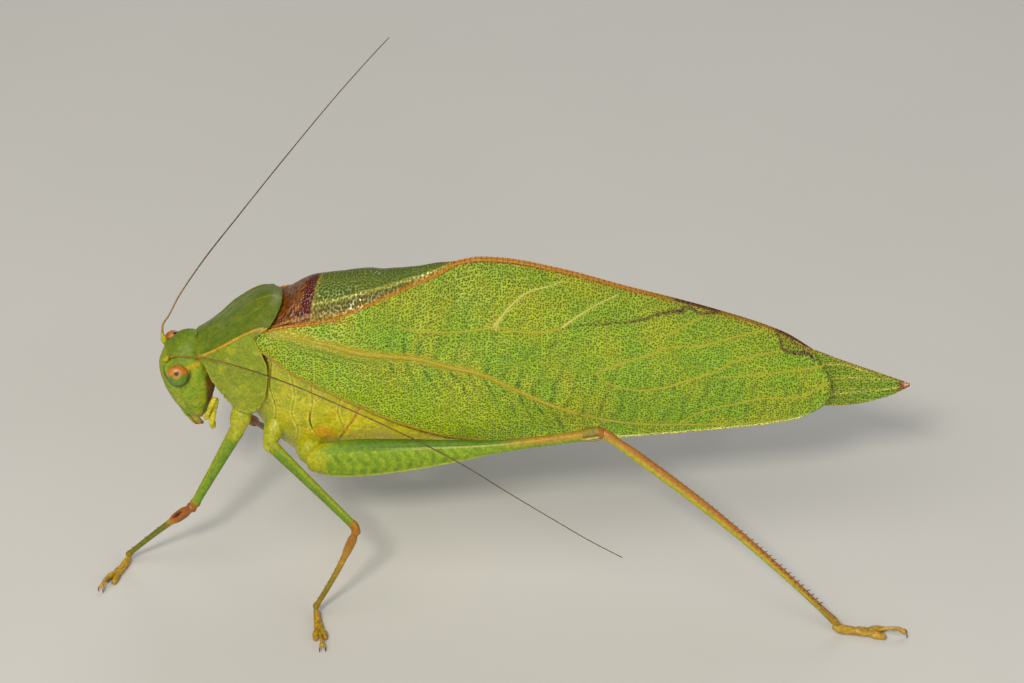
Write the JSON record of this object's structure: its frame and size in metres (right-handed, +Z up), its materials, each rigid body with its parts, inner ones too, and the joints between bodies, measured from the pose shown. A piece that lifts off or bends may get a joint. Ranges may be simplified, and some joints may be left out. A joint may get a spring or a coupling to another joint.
{
  "type": "leaf katydid (long-horned grasshopper)",
  "caption": "Life-size still model of a male leaf-mimic katydid standing on its feet, wings folded roof-like over the back, long feelers swept back.",
  "frame": {"origin": "middle of the bounding box at floor level, under the wings", "axes": "+X along the body towards the wing tips, the head points to -X; -Y is the animal's left side; +Z up"},
  "size_m": [0.0662, 0.0402, 0.0339],
  "materials": {
    "body_cuticle": "satin yellow-green insect cuticle",
    "wing": "satin leaf-green wing membrane with a fine net of veins",
    "shin_and_foot": "satin ochre to olive cuticle",
    "feeler": "satin brown thread",
    "eye": "glossy orange over green"
  },
  "bodies": {
    "root": {"abdomen": "body_cuticle", "cercus_left": "body_cuticle", "cercus_right": "body_cuticle", "coxa_front_left": "body_cuticle", "coxa_front_right": "body_cuticle", "coxa_hind_left": "body_cuticle", "coxa_hind_right": "body_cuticle", "coxa_middle_left": "body_cuticle", "coxa_middle_right": "body_cuticle", "eye_left": "eye", "eye_right": "eye", "feeler_left": "feeler", "feeler_right": "feeler", "femur_front_left": "body_cuticle", "femur_front_right": "body_cuticle", "femur_hind_left": "body_cuticle", "femur_hind_right": "body_cuticle", "femur_middle_left": "body_cuticle", "femur_middle_right": "body_cuticle", "forewing_left": "wing", "forewing_right": "wing", "head": "body_cuticle", "hindwing_left": "wing", "hindwing_right": "wing", "labial_palp_left": "shin_and_foot", "labial_palp_right": "shin_and_foot", "labrum": "body_cuticle", "mandible_left": "shin_and_foot", "mandible_right": "shin_and_foot", "maxillary_palp_left": "shin_and_foot", "maxillary_palp_right": "shin_and_foot", "pronotum": "body_cuticle", "prothorax": "body_cuticle", "scape_left": "body_cuticle", "scape_right": "body_cuticle", "tarsus_front_left": "shin_and_foot", "tarsus_front_right": "shin_and_foot", "tarsus_hind_left": "shin_and_foot", "tarsus_hind_right": "shin_and_foot", "tarsus_middle_left": "shin_and_foot", "tarsus_middle_right": "shin_and_foot", "thorax": "body_cuticle", "tibia_front_left": "shin_and_foot", "tibia_front_right": "shin_and_foot", "tibia_hind_left": "shin_and_foot", "tibia_hind_right": "shin_and_foot", "tibia_middle_left": "shin_and_foot", "tibia_middle_right": "shin_and_foot"}
  },
  "joints": []
}
